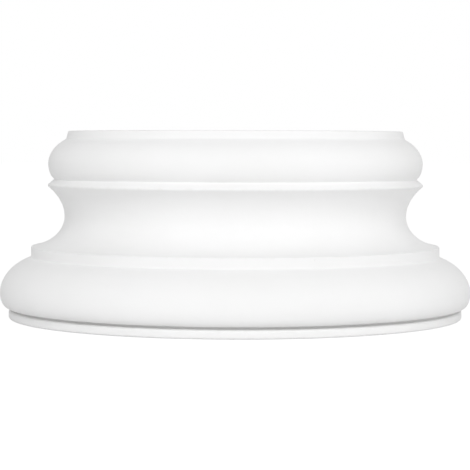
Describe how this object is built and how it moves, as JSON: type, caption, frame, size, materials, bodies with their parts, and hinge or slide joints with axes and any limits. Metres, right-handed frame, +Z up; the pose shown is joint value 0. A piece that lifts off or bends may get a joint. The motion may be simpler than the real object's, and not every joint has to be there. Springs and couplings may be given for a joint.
{
  "type": "column base",
  "caption": "Round moulded column base: a large and a small half-round moulding with a deep hollow between them, under a flat seat for the shaft.",
  "frame": {"origin": "centre of the flat underside, on the surface that the base stands on", "axes": "+Z up along the axis of the round; the picture looks along +Y, with +X to the right"},
  "size_m": [0.362, 0.362, 0.143],
  "materials": {
    "white_primer": "smooth matt white factory primer"
  },
  "bodies": {
    "root": {"column_base": "white_primer"}
  },
  "joints": []
}
